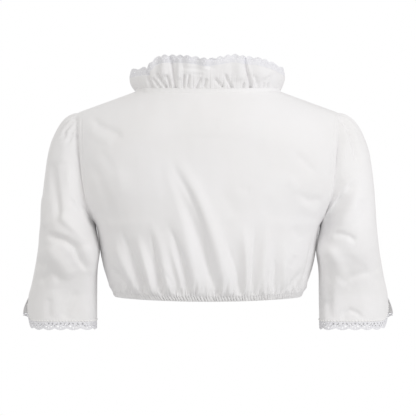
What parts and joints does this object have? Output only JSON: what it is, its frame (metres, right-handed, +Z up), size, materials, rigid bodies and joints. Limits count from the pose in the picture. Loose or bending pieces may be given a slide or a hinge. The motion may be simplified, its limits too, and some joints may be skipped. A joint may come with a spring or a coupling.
{
  "type": "dirndl blouse",
  "caption": "Cropped white cotton dirndl blouse, worn form, with a gathered lace-edged stand frill, elbow sleeves with slit lace cuffs and an elastic hem.",
  "frame": {"origin": "middle of the line between the two neck points, where the shoulder seams meet the neckline", "axes": "+X to the wearer's left, +Y out of the wearer's back, +Z up to the neck"},
  "size_m": [0.5554, 0.2445, 0.4037],
  "materials": {
    "cotton": "matt plain-woven white cotton",
    "lace": "matt white cotton bobbin lace"
  },
  "bodies": {
    "root": {"back": "cotton", "front": "cotton", "hem_elastic_casing": "cotton", "neck_band": "cotton", "collar_frill": "cotton", "collar_lace": "lace", "sleeve_left": "cotton", "cuff_lace_left": "lace", "sleeve_right": "cotton", "cuff_lace_right": "lace"}
  },
  "joints": []
}
